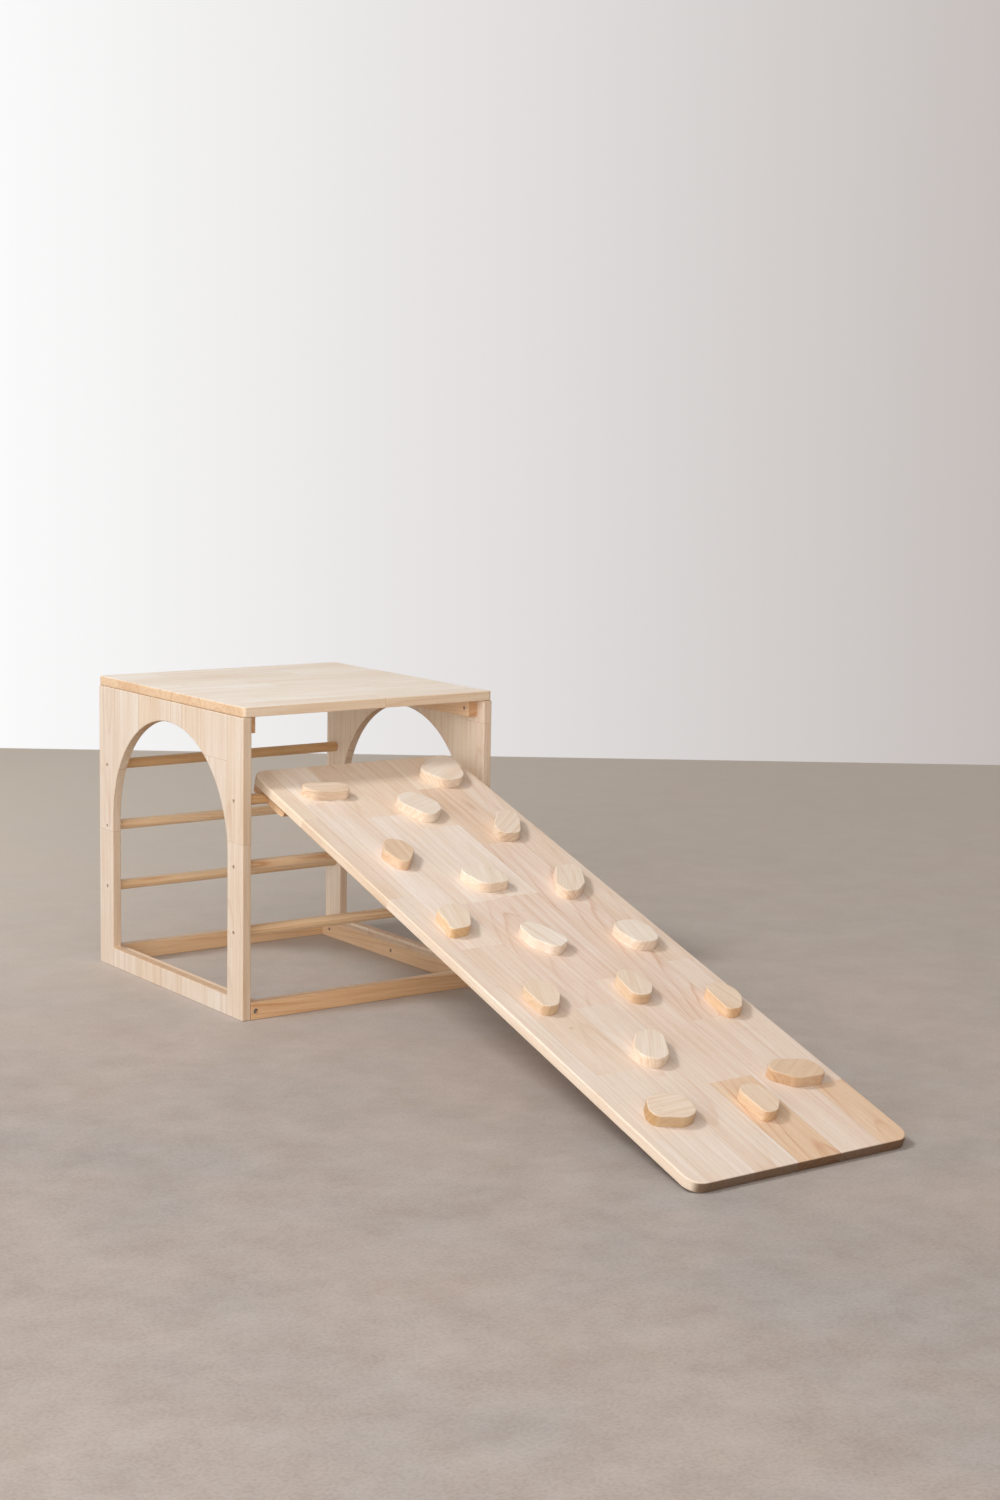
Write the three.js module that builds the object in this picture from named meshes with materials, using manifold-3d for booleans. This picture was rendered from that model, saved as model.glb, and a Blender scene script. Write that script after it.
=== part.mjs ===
// Climbing ramp that hooks on the front upper rung of a low climbing cube.
// Millimetres, +Z up. X runs across, Y runs from the foot of the ramp to the cube.
import * as THREE from "three";
import { RoundedBoxGeometry } from "three/addons/geometries/RoundedBoxGeometry.js";
import { mergeVertices } from "three/addons/utils/BufferGeometryUtils.js";
import Module from "manifold-3d";

const wasm = await Module();
wasm.setup();

// Fits
const FIT_GAP = 0.3; // left between pieces that touch
const NOTCH_CLEARANCE = 0.5; // between a rung and the notch that hangs on it

// Cube
const CUBE_WIDTH = 540; // over the outer faces of the side panels
const PANEL_DEPTH = 560;
const PANEL_HEIGHT = 550;
const PANEL_THICKNESS = 18;
const PANEL_EASE = 2;
const POST_WIDTH = 56; // wood in front of the opening and behind it
const SILL_HEIGHT = 38; // wood below the opening
const CROWN_HEIGHT = 40; // wood above the opening
const ARCH_RISE = 215;
const ARCH_STEPS = 20;

// Top board
const TOP_THICKNESS = 18;
const TOP_CORNER_RADIUS = 8;
const TOP_EASE = 2;

// Rungs
const RUNG_DIAMETER = 20;
const RUNG_SETBACK = 33; // from the edge of a panel to the rung's axis
const RUNG_DROP = 153; // from the top of a panel to the highest axis
const RUNG_SPACING = 120;
const RUNG_LEVELS = ["upper", "middle", "lower"];
const RUNG_SIDES = 24;

// Battens: the rails across the floor and the cleats on the panels
const BATTEN_THICKNESS = 20;
const BATTEN_HEIGHT = 32;
const BATTEN_EASE = 1.5;
const TOP_CLEAT_SETBACK = 22; // from the edge of a panel to the end of a top cleat

// Fasteners
const RUNG_SCREW = { head: 6.4, headLength: 3.5, shank: 4, recess: 2, socket: 3, bite: 35 };
const RAIL_BOLT = { head: 8.9, headLength: 4, shank: 5.4, recess: 4, socket: 4.5, bite: 20 };
const CLEAT_SCREW = { head: 6.4, headLength: 2.5, shank: 4, recess: 1, socket: 3, bite: 10 };
const SOCKET_DEPTH = 1.8;
const TIP_LENGTH = 3;
const SCREW_SIDES = 8;
const FLOOR_SCREW_INSET = 28; // from the end of a floor cleat to its screw
const TOP_SCREW_INSET = 15; // from the end of a top cleat to its screw

// Ramp
const RAMP_SIDE_ROOM = 34.5; // left between the ramp and each side panel
const RAMP_LENGTH = 1324;
const RAMP_THICKNESS = 18;
const RAMP_CORNER_RADIUS = 28;
const RAMP_EASE = 3;
const RAMP_EASE_STEPS = 4;
const RAMP_OVERHANG = 44; // past the axis of the rung that it hangs on

// Hook blocks under the ramp
const HOOK_THICKNESS = 18;
const HOOK_INSET = 12; // from the ramp's long edge
const HOOK_UP = 42; // from the rung's axis towards the top end
const HOOK_DOWN = 70; // from the rung's axis towards the foot
const HOOK_LAND = 4.8; // wood above the notch
const HOOK_LIP = 6.7; // wood below the level of the rung's axis
const HOOK_TIP_RADIUS = 12;
const HOOK_HEEL_RADIUS = 4;

// Holds
const HOLD_THICKNESS = 18;
const HOLD_EASE = 2;
const HOLD_CORNER_RADIUS = 22;
const HOLD_CORNER_STEPS = 2;
const MOST_OF_SIDE = 0.48; // most of a side that one rounded corner may take

// The centre of each hold as shares of the ramp's width and length, from its left edge and foot,
// and the corners of its outline from that centre.
const HOLDS = [
  [0.211, 0.914, [[-38, 23], [30, 14], [44, 0], [38, -23], [-30, -14], [-47, 6]]],
  [0.837, 0.939, [[42, 49], [-2, 47], [-54, 0], [-24, -50], [12, -48], [30, -30], [43, 14]]],
  [0.543, 0.846, [[-30, 33], [-3, 50], [22, 30], [37, 0], [31, -26], [-8, -54], [-38, 10]]],
  [0.837, 0.773, [[6, 43], [43, 39], [30, 2], [0, -44], [-43, -36], [-31, -1]]],
  [0.223, 0.733, [[-4, 43], [26, 30], [30, -6], [-5, -45], [-22, -38], [-30, 4]]],
  [0.471, 0.647, [[-42, 24], [-14, 38], [10, 33], [28, 17], [36, -12], [31, -30], [-22, -32]]],
  [0.818, 0.616, [[-2, 43], [38, 43], [42, 20], [18, -23], [-8, -43], [-38, -46], [-39, -14]]],
  [0.154, 0.56, [[-24, 26], [6, 41], [31, 34], [32, 5], [8, -36], [-37, -40], [-26, -12]]],
  [0.43, 0.493, [[-30, 37], [-2, 48], [20, 18], [36, -14], [30, -29], [-2, -46], [-28, -9]]],
  [0.834, 0.472, [[-32, 31], [-4, 39], [22, 34], [34, 8], [25, -37], [-25, -37], [-35, 5]]],
  [0.168, 0.372, [[-26, 24], [-4, 39], [24, 36], [32, 10], [28, -8], [4, -39], [-26, -41]]],
  [0.575, 0.363, [[-22, 24], [-8, 41], [14, 40], [27, 12], [26, -14], [4, -39], [-28, -36]]],
  [0.88, 0.307, [[-22, 28], [-6, 39], [22, 37], [31, 12], [26, -11], [4, -39], [-27, -41]]],
  [0.363, 0.238, [[-6, 37], [30, 40], [38, 18], [10, -34], [-18, -44], [-38, -24], [-37, 0]]],
  [0.175, 0.122, [[-26, 29], [0, 36], [30, 25], [41, 4], [34, -26], [6, -34], [-42, -18], [-42, 2]]],
  [0.547, 0.106, [[-24, 28], [-8, 38], [14, 36], [27, 10], [25, -16], [4, -37], [-23, -40]]],
  [0.814, 0.145, [[-47, 18], [-22, 32], [32, 18], [45, 0], [40, -30], [-18, -26], [-47, 2]]],
];

// Colours
const PANEL_COLOUR = 0xe3cbaa;
const BOARD_COLOUR = 0xe6cfae;
const RUNG_COLOUR = 0xc9a374;
const BATTEN_COLOUR = 0xdcc09a;
const RAMP_COLOUR = 0xe2c5a4;
const HOLD_COLOUR = 0xe8d2b2;
const STEEL_COLOUR = 0x9a9b9e;

const rungRadius = RUNG_DIAMETER / 2;
const notchRadius = rungRadius + NOTCH_CLEARANCE;
const innerWidth = CUBE_WIDTH - 2 * PANEL_THICKNESS;
const seat = HOOK_LAND + notchRadius; // from the rung's axis up to the underside of the ramp

// Adds a named mesh to a group.
function add(group, name, geometry, colour, metal = false) {
  const material = new THREE.MeshStandardMaterial({
    color: colour,
    roughness: metal ? 0.35 : 0.6,
    metalness: metal ? 1 : 0,
  });
  const mesh = new THREE.Mesh(geometry, material);
  mesh.name = name;
  group.add(mesh);
  return mesh;
}

// A geometry as a solid for boolean work.
function solidOf(geometry) {
  const bare = geometry.clone();
  bare.deleteAttribute("normal");
  bare.deleteAttribute("uv");
  const merged = mergeVertices(bare, 1e-4);
  return new wasm.Manifold(
    new wasm.Mesh({
      numProp: 3,
      vertProperties: merged.attributes.position.array,
      triVerts: new Uint32Array(merged.index.array),
    }),
  );
}

// Takes the hole of each fastener out of a mesh that already stands in its place.
function drill(piece, fasteners) {
  piece.updateWorldMatrix(true, false);
  const toPiece = piece.matrixWorld.clone().invert();
  let solid = solidOf(piece.geometry);
  for (const fastener of fasteners) {
    fastener.updateWorldMatrix(true, false);
    const place = toPiece.clone().multiply(fastener.matrixWorld);
    solid = solid.subtract(solidOf(fastener.userData.hole.clone().applyMatrix4(place)));
  }
  const mesh = solid.getMesh();
  piece.geometry = new THREE.BufferGeometry();
  piece.geometry.setAttribute("position", new THREE.BufferAttribute(mesh.vertProperties, 3));
  piece.geometry.setIndex(new THREE.BufferAttribute(mesh.triVerts, 1));
  piece.geometry = piece.geometry.toNonIndexed();
  piece.geometry.computeVertexNormals();
}

// A closed outline with each corner turned into an arc, smaller where a side is short.
function roundedShape(corners, radius) {
  const points = corners.map(([x, y]) => new THREE.Vector2(x, y));
  const shape = new THREE.Shape();
  points.forEach((corner, i) => {
    const toLast = points.at(i - 1).clone().sub(corner);
    const toNext = points[(i + 1) % points.length].clone().sub(corner);
    const half = toLast.angleTo(toNext) / 2;
    const room = MOST_OF_SIDE * Math.min(toLast.length(), toNext.length());
    const reach = Math.min(radius / Math.tan(half), room);
    const arcRadius = reach * Math.tan(half);
    toLast.setLength(reach);
    toNext.setLength(reach);
    const toCentre = toLast.clone().add(toNext).setLength(Math.hypot(arcRadius, reach));
    const from = toLast.clone().sub(toCentre).angle();
    const to = toNext.clone().sub(toCentre).angle();
    const centre = corner.clone().add(toCentre);
    shape.absarc(centre.x, centre.y, arcRadius, from, to, toLast.cross(toNext) > 0);
  });
  shape.closePath();
  return shape;
}

// The four corners of a rectangle that starts at the origin.
function rectangle(width, height) {
  return [[0, 0], [width, 0], [width, height], [0, height]];
}

// A board cut to a shape, from z = 0 up, with both rims eased.
function board(shape, thickness, ease, easeSteps, curveSteps) {
  const geometry = new THREE.ExtrudeGeometry(shape, {
    depth: thickness - 2 * ease,
    bevelThickness: ease,
    bevelSize: ease,
    bevelOffset: -ease,
    bevelSegments: easeSteps,
    curveSegments: curveSteps,
  });
  return geometry.translate(0, 0, ease);
}

// The same with its lower rim left sharp.
function flatBottomed(geometry) {
  const place = geometry.attributes.position;
  for (let i = 0; i < place.count; i += 1) {
    if (place.getZ(i) < HOLD_EASE + FIT_GAP) place.setZ(i, 0);
  }
  return geometry;
}

// Turns a geometry drawn in X and Y so that they run along Y and Z, and its thickness along X.
function facingX(mesh) {
  mesh.rotation.set(Math.PI / 2, Math.PI / 2, 0);
  return mesh;
}

// A screw or bolt that points along -Y, with the top of its head at the recess below y = 0.
function addFastener(group, name, kind, through) {
  const headTop = -kind.recess;
  const headFoot = headTop - kind.headLength;
  const tip = -through - kind.bite;
  const shank = kind.shank / 2;
  const head = kind.head / 2;
  const socket = kind.socket / 2;
  const profile = [
    [0, tip],
    [shank, tip + TIP_LENGTH],
    [shank, headFoot],
    [head, headFoot],
    [head, headTop],
    [socket, headTop],
    [socket, headTop - SOCKET_DEPTH],
    [0, headTop - SOCKET_DEPTH],
  ];
  const hole = [
    [0, tip - FIT_GAP],
    [shank + FIT_GAP, tip - FIT_GAP],
    [shank + FIT_GAP, headFoot - FIT_GAP],
    [head + FIT_GAP, headFoot - FIT_GAP],
    [head + FIT_GAP, kind.head],
    [0, kind.head],
  ];
  const turned = (points) =>
    new THREE.LatheGeometry(points.map(([r, y]) => new THREE.Vector2(r, y)), SCREW_SIDES);
  const mesh = add(group, name, turned(profile), STEEL_COLOUR, true);
  mesh.userData.hole = turned(hole);
  return mesh;
}

// A batten with its length along one axis and its eased edges.
function battenGeometry(x, y, z) {
  return new RoundedBoxGeometry(x, y, z, 1, BATTEN_EASE);
}

// The panel of one side: posts, sill and crown around an arched opening.
function panelShape() {
  const halfOpening = PANEL_DEPTH / 2 - POST_WIDTH;
  const springHeight = PANEL_HEIGHT - CROWN_HEIGHT - ARCH_RISE;
  const shape = new THREE.Shape();
  shape.moveTo(0, 0);
  shape.lineTo(PANEL_DEPTH, 0);
  shape.lineTo(PANEL_DEPTH, PANEL_HEIGHT);
  shape.lineTo(0, PANEL_HEIGHT);
  shape.closePath();
  const opening = new THREE.Path();
  opening.moveTo(POST_WIDTH, SILL_HEIGHT);
  opening.lineTo(PANEL_DEPTH - POST_WIDTH, SILL_HEIGHT);
  opening.absellipse(PANEL_DEPTH / 2, springHeight, halfOpening, ARCH_RISE, 0, Math.PI, false, 0);
  opening.closePath();
  shape.holes.push(opening);
  return shape;
}

// One side of the cube with x = 0 on its outer face. ends names what stands at its first and
// second edge along Y.
function addSide(cube, name, ends) {
  const side = new THREE.Group();
  cube.add(side);
  const innerFace = PANEL_THICKNESS + FIT_GAP;
  const cleatMiddle = innerFace + BATTEN_THICKNESS / 2;
  const floorCleatLength = PANEL_DEPTH - 2 * (BATTEN_THICKNESS + FIT_GAP);
  const topCleatLength = PANEL_DEPTH - 2 * TOP_CLEAT_SETBACK;

  const panel = add(
    side,
    `side_panel_${name}`,
    board(panelShape(), PANEL_THICKNESS, PANEL_EASE, 1, ARCH_STEPS / 2),
    PANEL_COLOUR,
  );
  facingX(panel);
  const floorCleat = add(
    side,
    `floor_cleat_${name}`,
    battenGeometry(BATTEN_THICKNESS, floorCleatLength, BATTEN_HEIGHT),
    BATTEN_COLOUR,
  );
  floorCleat.position.set(cleatMiddle, PANEL_DEPTH / 2, BATTEN_HEIGHT / 2);
  const topCleat = add(
    side,
    `top_cleat_${name}`,
    battenGeometry(BATTEN_THICKNESS, topCleatLength, BATTEN_HEIGHT),
    BATTEN_COLOUR,
  );
  topCleat.position.set(cleatMiddle, PANEL_DEPTH / 2, PANEL_HEIGHT - BATTEN_HEIGHT / 2);

  const rungScrews = [];
  const railBolts = [];
  const cleatScrews = [];
  ends.forEach((end, i) => {
    const edge = i * PANEL_DEPTH;
    const inward = 1 - 2 * i;
    RUNG_LEVELS.forEach((level, k) => {
      const screw = addFastener(side, `rung_screw_${end}_${level}_${name}`, RUNG_SCREW, PANEL_THICKNESS);
      screw.position.set(0, edge + inward * RUNG_SETBACK, PANEL_HEIGHT - RUNG_DROP - k * RUNG_SPACING);
      screw.rotation.z = Math.PI / 2;
      screw.userData.rung = `rung_${end}_${level}`;
      rungScrews.push(screw);
    });
    const bolt = addFastener(side, `rail_bolt_${end}_${name}`, RAIL_BOLT, BATTEN_THICKNESS);
    bolt.position.set(cleatMiddle, edge, BATTEN_HEIGHT / 2);
    bolt.rotation.z = i * Math.PI + Math.PI;
    bolt.userData.rail = `rail_${end}`;
    railBolts.push(bolt);
    const places = [
      ["floor_cleat", BATTEN_THICKNESS + FIT_GAP + FLOOR_SCREW_INSET, floorCleat.position.z],
      ["top_cleat", TOP_CLEAT_SETBACK + TOP_SCREW_INSET, topCleat.position.z],
    ];
    for (const [cleat, inset, height] of places) {
      const screw = addFastener(side, `${cleat}_screw_${end}_${name}`, CLEAT_SCREW, BATTEN_THICKNESS);
      screw.position.set(innerFace + BATTEN_THICKNESS, edge + inward * inset, height);
      screw.rotation.z = -Math.PI / 2;
      cleatScrews.push(screw);
    }
  });
  return { side, panel, floorCleat, topCleat, rungScrews, railBolts, cleatScrews };
}

// Cube
const cube = new THREE.Group();
const left = addSide(cube, "left", ["front", "rear"]);
const right = addSide(cube, "right", ["rear", "front"]);
right.side.position.set(CUBE_WIDTH, PANEL_DEPTH, 0);
right.side.rotation.z = Math.PI;

for (const { panel, floorCleat, topCleat, rungScrews, railBolts, cleatScrews } of [left, right]) {
  drill(panel, [...rungScrews, ...cleatScrews]);
  drill(floorCleat, [...railBolts, ...cleatScrews]);
  drill(topCleat, cleatScrews);
}

const allRungScrews = [...left.rungScrews, ...right.rungScrews];
const allRailBolts = [...left.railBolts, ...right.railBolts];
const betweenPanels = innerWidth - 2 * FIT_GAP;
for (const [end, edge, inward] of [["front", 0, 1], ["rear", PANEL_DEPTH, -1]]) {
  RUNG_LEVELS.forEach((level, k) => {
    const name = `rung_${end}_${level}`;
    const geometry = new THREE.CylinderGeometry(rungRadius, rungRadius, betweenPanels, RUNG_SIDES);
    const rung = add(cube, name, geometry, RUNG_COLOUR);
    rung.position.x = CUBE_WIDTH / 2;
    rung.position.y = edge + inward * RUNG_SETBACK;
    rung.position.z = PANEL_HEIGHT - RUNG_DROP - k * RUNG_SPACING;
    rung.rotation.z = Math.PI / 2;
    drill(rung, allRungScrews.filter((screw) => screw.userData.rung === name));
  });
  const rail = add(
    cube,
    `rail_${end}`,
    battenGeometry(betweenPanels, BATTEN_THICKNESS, BATTEN_HEIGHT),
    BATTEN_COLOUR,
  );
  rail.position.set(CUBE_WIDTH / 2, edge + (inward * BATTEN_THICKNESS) / 2, BATTEN_HEIGHT / 2);
  drill(rail, allRailBolts.filter((bolt) => bolt.userData.rail === rail.name));
}

const topBoard = add(
  cube,
  "top_board",
  board(
    roundedShape(rectangle(CUBE_WIDTH, PANEL_DEPTH), TOP_CORNER_RADIUS),
    TOP_THICKNESS,
    TOP_EASE,
    1,
    2,
  ),
  BOARD_COLOUR,
);
topBoard.position.z = PANEL_HEIGHT + FIT_GAP;

// Ramp: its group turns on the axis of the front upper rung, and its foot rests on z = 0
const rungHeight = PANEL_HEIGHT - RUNG_DROP;
const rampWidth = innerWidth - 2 * RAMP_SIDE_ROOM;
const footReach = RAMP_LENGTH - RAMP_OVERHANG;
const easeReach = footReach - RAMP_EASE;
const easeRise = seat + RAMP_EASE;
const tilt =
  Math.atan2(easeRise, easeReach) +
  Math.asin((rungHeight - RAMP_EASE) / Math.hypot(easeReach, easeRise));
const ramp = new THREE.Group();
ramp.position.set(CUBE_WIDTH / 2, RUNG_SETBACK, rungHeight);
ramp.rotation.x = tilt;

const rampBoard = add(
  ramp,
  "ramp_board",
  board(
    roundedShape(rectangle(rampWidth, RAMP_LENGTH), RAMP_CORNER_RADIUS),
    RAMP_THICKNESS,
    RAMP_EASE,
    RAMP_EASE_STEPS,
    2,
  ),
  RAMP_COLOUR,
);
rampBoard.position.set(-rampWidth / 2, -footReach, seat);

HOLDS.forEach(([across, along, corners], i) => {
  const hold = add(
    ramp,
    `hold_${String(i + 1).padStart(2, "0")}`,
    flatBottomed(
      board(
        roundedShape(corners, HOLD_CORNER_RADIUS),
        HOLD_THICKNESS,
        HOLD_EASE,
        1,
        HOLD_CORNER_STEPS,
      ),
    ),
    HOLD_COLOUR,
  );
  hold.position.x = (across - 0.5) * rampWidth;
  hold.position.y = along * RAMP_LENGTH - footReach;
  hold.position.z = seat + RAMP_THICKNESS + FIT_GAP;
});

// The side view of a hook block, with the rung's axis at the origin and its notch open downwards.
function hookShape() {
  const top = seat - FIT_GAP;
  const shape = new THREE.Shape();
  shape.moveTo(HOOK_UP, top);
  shape.lineTo(-HOOK_DOWN, top);
  const tip = HOOK_TIP_RADIUS;
  shape.absarc(tip - HOOK_DOWN, tip - HOOK_LIP, tip, Math.PI, 1.5 * Math.PI, false);
  shape.lineTo(-notchRadius, -HOOK_LIP);
  shape.absarc(0, 0, notchRadius, Math.PI, 0, true);
  shape.lineTo(notchRadius, -HOOK_LIP);
  const heel = HOOK_HEEL_RADIUS;
  shape.absarc(HOOK_UP - heel, heel - HOOK_LIP, heel, -0.5 * Math.PI, 0, false);
  shape.closePath();
  return shape;
}

for (const [name, inward] of [["left", 1], ["right", -1]]) {
  const geometry = new THREE.ExtrudeGeometry(hookShape(), {
    depth: HOOK_THICKNESS,
    bevelEnabled: false,
    curveSegments: 5,
  });
  geometry.translate(0, 0, -HOOK_THICKNESS / 2);
  const hook = facingX(add(ramp, `ramp_hook_${name}`, geometry, BATTEN_COLOUR));
  hook.position.x = inward * (HOOK_INSET + HOOK_THICKNESS / 2 - rampWidth / 2);
}

// The whole object stands on z = 0 with the middle of its footprint at the origin.
const whole = new THREE.Group();
whole.add(cube, ramp);
const box = new THREE.Box3().setFromObject(whole, true);
whole.position.set(-(box.min.x + box.max.x) / 2, -(box.min.y + box.max.y) / 2, -box.min.z);

export default whole;
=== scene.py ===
import math
import random

import bpy
from mathutils import Euler, Matrix, Vector


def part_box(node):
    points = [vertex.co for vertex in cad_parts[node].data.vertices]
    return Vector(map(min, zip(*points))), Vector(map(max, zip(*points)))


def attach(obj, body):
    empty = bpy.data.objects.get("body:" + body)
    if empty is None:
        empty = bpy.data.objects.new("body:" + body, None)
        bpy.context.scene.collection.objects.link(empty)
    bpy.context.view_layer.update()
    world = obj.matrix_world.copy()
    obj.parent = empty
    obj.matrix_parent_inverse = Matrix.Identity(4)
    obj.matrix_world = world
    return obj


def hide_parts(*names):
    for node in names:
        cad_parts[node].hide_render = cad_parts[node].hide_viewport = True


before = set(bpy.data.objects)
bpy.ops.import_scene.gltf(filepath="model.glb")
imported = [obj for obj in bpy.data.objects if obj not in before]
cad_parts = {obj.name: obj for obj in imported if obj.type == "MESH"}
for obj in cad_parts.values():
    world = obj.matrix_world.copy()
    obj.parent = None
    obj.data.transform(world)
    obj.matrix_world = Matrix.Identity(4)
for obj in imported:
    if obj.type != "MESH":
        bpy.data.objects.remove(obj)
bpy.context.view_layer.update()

MM = 0.001
FIT_GAP = 0.3 * MM  # between pieces that touch
ROUNDING = 1e-6  # how far a corner may be from the plane that it was put in
FLAT = 0.9  # a face counts as level when its normal is upright by this much
SHARP_EDGE = math.radians(40)  # edges sharper than this are eased
SMOOTH_EDGE = math.radians(32)  # edges flatter than this are shaded smooth

# Cube
PANEL_DEPTH = 560 * MM
PANEL_HEIGHT = 550 * MM
PANEL_EASE = 2 * MM
POST_WIDTH = 56 * MM
SILL_HEIGHT = 38 * MM
CROWN_HEIGHT = 40 * MM  # of the wood over the arch
ARCH_RISE = 215 * MM
ARCH_STEPS = 72
TOP_CORNER_RADIUS = 8 * MM
TOP_EASE = 2 * MM
BATTEN_EASE = 1.5 * MM
RUNG_RADIUS = 10 * MM
RUNG_SIDES = 56
RUNG_EASE = 1 * MM

# Ramp
HINGE = Vector((0, 0.347348, 0.397))  # on the axis of the front upper rung
RAMP_WIDTH = 435 * MM
RAMP_LENGTH = 1324 * MM
RAMP_THICKNESS = 18 * MM
RAMP_CORNER_RADIUS = 28 * MM
RAMP_EASE = 3 * MM
RAMP_OVERHANG = 44 * MM  # past the rung's axis

# Hook blocks, measured from the rung's axis and along the ramp
NOTCH_RADIUS = 10.5 * MM
HOOK_THICKNESS = 18 * MM
HOOK_INSET = 12 * MM  # from the ramp's long edges
HOOK_UP = 42 * MM
HOOK_DOWN = 70 * MM
HOOK_LAND = 4.8 * MM  # wood between the notch and the ramp
HOOK_LIP = 6.7 * MM
HOOK_TIP_RADIUS = 12 * MM
HOOK_HEEL_RADIUS = 4 * MM
HOOK_EASE = 0.8 * MM
SEAT = HOOK_LAND + NOTCH_RADIUS  # from the rung's axis up to the underside of the ramp

# Holds
HOLD_THICKNESS = 18 * MM
HOLD_EASE = 2 * MM
HOLD_CORNER_RADIUS = 22 * MM
MOST_OF_SIDE = 0.48  # most of a side that one rounded corner may take
CORNER_STEPS = 8

# The centre of each hold as shares of the ramp's width and length, the direction of its grain in
# degrees from the slope, its tone from 0, pale, to 1, tan, how strongly its rings show, what its
# sawn sides do to the tone, partly their own tone and partly painted shade of the sides that face
# down the slope, and the corners of its outline in millimetres from its centre.
CLEAN_SIDES = "FFFCF8"
HOLDS = [
    [0.211, 0.914, 90, 0.45, 0.8, CLEAN_SIDES,
     [[-38, 23], [30, 14], [44, 0], [38, -23], [-30, -14], [-47, 6]]],
    [0.837, 0.939, 60, 0.15, 0.4, CLEAN_SIDES,
     [[42, 49], [-2, 47], [-54, 0], [-24, -50], [12, -48], [30, -30], [43, 14]]],
    [0.543, 0.846, 70, 0.02, 0.3, CLEAN_SIDES,
     [[-30, 33], [-3, 50], [22, 30], [37, 0], [31, -26], [-8, -54], [-38, 10]]],
    [0.837, 0.773, 48, 0.27, 0.8, "F4F0EA",
     [[6, 43], [43, 39], [30, 2], [0, -44], [-43, -36], [-31, -1]]],
    [0.223, 0.733, 4, 0.8, 0.7, CLEAN_SIDES,
     [[-4, 43], [26, 30], [30, -6], [-5, -45], [-22, -38], [-30, 4]]],
    [0.471, 0.647, 22, 0.25, 0.3, CLEAN_SIDES,
     [[-42, 24], [-14, 38], [10, 33], [28, 17], [36, -12], [31, -30], [-22, -32]]],
    [0.818, 0.616, 35, 0.25, 0.6, CLEAN_SIDES,
     [[-2, 43], [38, 43], [42, 20], [18, -23], [-8, -43], [-38, -46], [-39, -14]]],
    [0.154, 0.56, 15, 0.42, 0.3, "F8EBD4",
     [[-24, 26], [6, 41], [31, 34], [32, 5], [8, -36], [-37, -40], [-26, -12]]],
    [0.43, 0.493, -12, 0.02, 0.3, CLEAN_SIDES,
     [[-30, 37], [-2, 48], [20, 18], [36, -14], [30, -29], [-2, -46], [-28, -9]]],
    [0.834, 0.472, 8, 0.12, 0.3, CLEAN_SIDES,
     [[-32, 31], [-4, 39], [22, 34], [34, 8], [25, -37], [-25, -37], [-35, 5]]],
    [0.168, 0.372, 18, 0.53, 0.4, "F3ECE0",
     [[-26, 24], [-4, 39], [24, 36], [32, 10], [28, -8], [4, -39], [-26, -41]]],
    [0.575, 0.363, 25, 0.4, 0.3, "F0E6D8",
     [[-22, 24], [-8, 41], [14, 40], [27, 12], [26, -14], [4, -39], [-28, -36]]],
    [0.88, 0.307, -10, 0.6, 0.3, "F8EDDC",
     [[-22, 28], [-6, 39], [22, 37], [31, 12], [26, -11], [4, -39], [-27, -41]]],
    [0.363, 0.238, 36, 0.25, 0.6, CLEAN_SIDES,
     [[-6, 37], [30, 40], [38, 18], [10, -34], [-18, -44], [-38, -24], [-37, 0]]],
    [0.175, 0.122, 90, 0.45, 0.7, "E4D5BC",
     [[-26, 29], [0, 36], [30, 25], [41, 4], [34, -26], [6, -34], [-42, -18], [-42, 2]]],
    [0.547, 0.106, 5, 0.57, 0.6, "F6EDDF",
     [[-24, 28], [-8, 38], [14, 36], [27, 10], [25, -16], [4, -37], [-23, -40]]],
    [0.814, 0.145, 60, 0.85, 0.7, "F6EFE6",
     [[-47, 18], [-22, 32], [32, 18], [45, 0], [40, -30], [-18, -26], [-47, 2]]],
]

# Fasteners, in millimetres: head, shank and socket are diameters
FASTENERS = {
    "rung_screw": {"head": 6.4, "head_length": 3.5, "shank": 4, "socket": 3.4, "socket_sides": 6},
    "rail_bolt": {"head": 8.9, "head_length": 4, "shank": 5.4, "socket": 5.0, "socket_sides": 6},
    "cleat_screw": {"head": 6.4, "head_length": 2.5, "shank": 4, "socket": 3.4, "socket_sides": 4},
}
SOCKET_DEPTH = 1.8 * MM
HEAD_EASE = 0.5 * MM
TIP_LENGTH = 3 * MM
TIP_TAPER = 0.12
SCREW_SIDES = 24
LEAST_REACH = 0.1 * MM  # how far a screw reaches into a piece before it needs a hole there


# ---------------------------------------------------------------- modelling


def only(*pieces):
    """Selects these pieces and nothing else, in object mode."""
    bpy.ops.object.select_all(action="DESELECT")
    for piece in pieces:
        piece.select_set(True)
    bpy.context.view_layer.objects.active = pieces[0]


def named(name):
    """Names the piece that an operator has just added."""
    piece = bpy.context.object
    piece.name = piece.data.name = name
    return piece


def pick(piece, kind, test):
    """Opens a piece for editing with only those of its faces or edges selected that pass a test."""
    only(piece)
    bpy.ops.object.mode_set(mode="EDIT")
    bpy.ops.mesh.select_mode(type=kind)
    bpy.ops.mesh.select_all(action="DESELECT")
    bpy.ops.object.mode_set(mode="OBJECT")
    mesh = piece.data
    if kind == "FACE":
        for face in mesh.polygons:
            face.select = test(face.normal)
    else:
        for edge in mesh.edges:
            edge.select = test(*(mesh.vertices[i].co for i in edge.vertices))
    bpy.ops.object.mode_set(mode="EDIT")


def done():
    """Closes a piece that was opened for editing."""
    bpy.ops.object.mode_set(mode="OBJECT")


def modify(piece, kind, **settings):
    """Adds a modifier and applies it."""
    only(piece)
    modifier = piece.modifiers.new(kind.title(), kind)
    for key, value in settings.items():
        setattr(modifier, key, value)
    bpy.ops.object.modifier_apply(modifier=modifier.name)


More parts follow.
